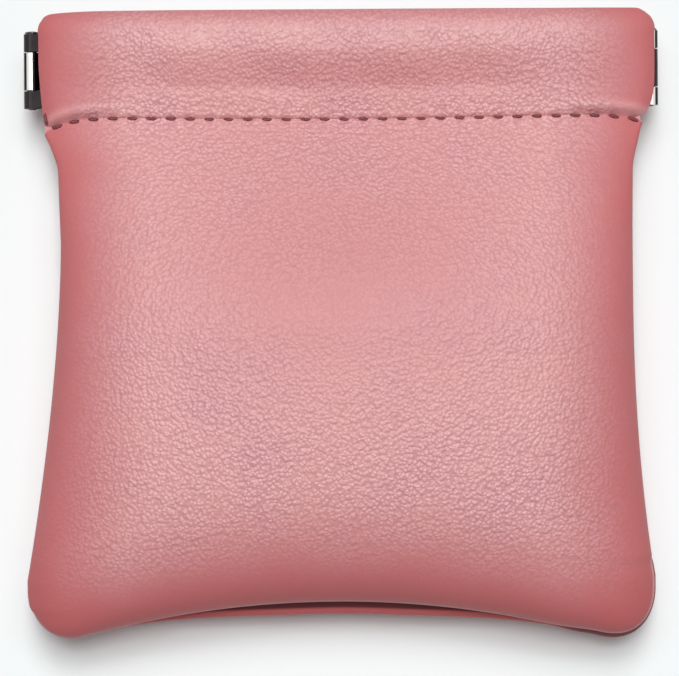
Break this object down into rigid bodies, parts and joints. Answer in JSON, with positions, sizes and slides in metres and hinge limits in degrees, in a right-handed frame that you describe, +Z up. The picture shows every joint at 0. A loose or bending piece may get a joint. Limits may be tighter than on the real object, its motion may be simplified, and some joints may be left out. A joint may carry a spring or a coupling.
{
  "type": "squeeze-top pouch",
  "caption": "Small stuffed leather pouch whose mouth is held shut by a sprung steel frame in its hems and opens when the frame's hinged ends are squeezed, for jewelry or coins.",
  "frame": {"origin": "on the table under the middle of the pouch, which lies on its back panel", "axes": "+X along the mouth, +Y from the bottom seam to the mouth, +Z up through the front panel"},
  "size_m": [0.085, 0.084, 0.024],
  "materials": {
    "leather": "rose pink grained, semi-matt",
    "spring_steel": "bright rolled",
    "gunmetal": "gunmetal plated, bright",
    "pin_steel": "dark turned"
  },
  "bodies": {
    "back": {"back_panel": "leather", "back_strip": "spring_steel"},
    "ends": {"left_hinge_pin": "pin_steel", "right_hinge_pin": "pin_steel"},
    "front": {"front_panel": "leather", "front_strip": "spring_steel"},
    "front_left_end": {"front_left_hinge_end": "gunmetal"},
    "back_left_end": {"back_left_hinge_end": "gunmetal"},
    "front_right_end": {"front_right_hinge_end": "gunmetal"},
    "back_right_end": {"back_right_hinge_end": "gunmetal"}
  },
  "joints": [
    {"name": "mouth_open", "type": "hinge", "parent": "back", "child": "ends", "pos_m": [0, -0.042, 0.0095], "axis": [1, 0, 0], "range_deg": [0, 10], "stiffness_Nm_per_rad": 0.02, "deforming": ["back_panel", "back_strip"]},
    {"name": "front_lift", "type": "hinge", "parent": "ends", "child": "front", "pos_m": [0, -0.042, 0.0095], "axis": [1, 0, 0], "range_deg": [0, 10], "deforming": ["front_panel", "front_strip"]},
    {"name": "front_left_swing", "type": "hinge", "parent": "ends", "child": "front_left_end", "pos_m": [-0.0414, 0.034, 0.0095], "axis": [0, -1, 0], "range_deg": [0, 8]},
    {"name": "back_left_swing", "type": "hinge", "parent": "ends", "child": "back_left_end", "pos_m": [-0.0414, 0.034, 0.0095], "axis": [0, 1, 0], "range_deg": [0, 8]},
    {"name": "front_right_swing", "type": "hinge", "parent": "ends", "child": "front_right_end", "pos_m": [0.0414, 0.034, 0.0095], "axis": [0, 1, 0], "range_deg": [0, 8]},
    {"name": "back_right_swing", "type": "hinge", "parent": "ends", "child": "back_right_end", "pos_m": [0.0414, 0.034, 0.0095], "axis": [0, -1, 0], "range_deg": [0, 8]}
  ],
  "couplings": [
    {"joint": "front_lift", "follows": "mouth_open", "ratio": 1},
    {"joint": "front_left_swing", "follows": "mouth_open", "ratio": 0.8},
    {"joint": "back_left_swing", "follows": "mouth_open", "ratio": 0.8},
    {"joint": "front_right_swing", "follows": "mouth_open", "ratio": 0.8},
    {"joint": "back_right_swing", "follows": "mouth_open", "ratio": 0.8}
  ]
}
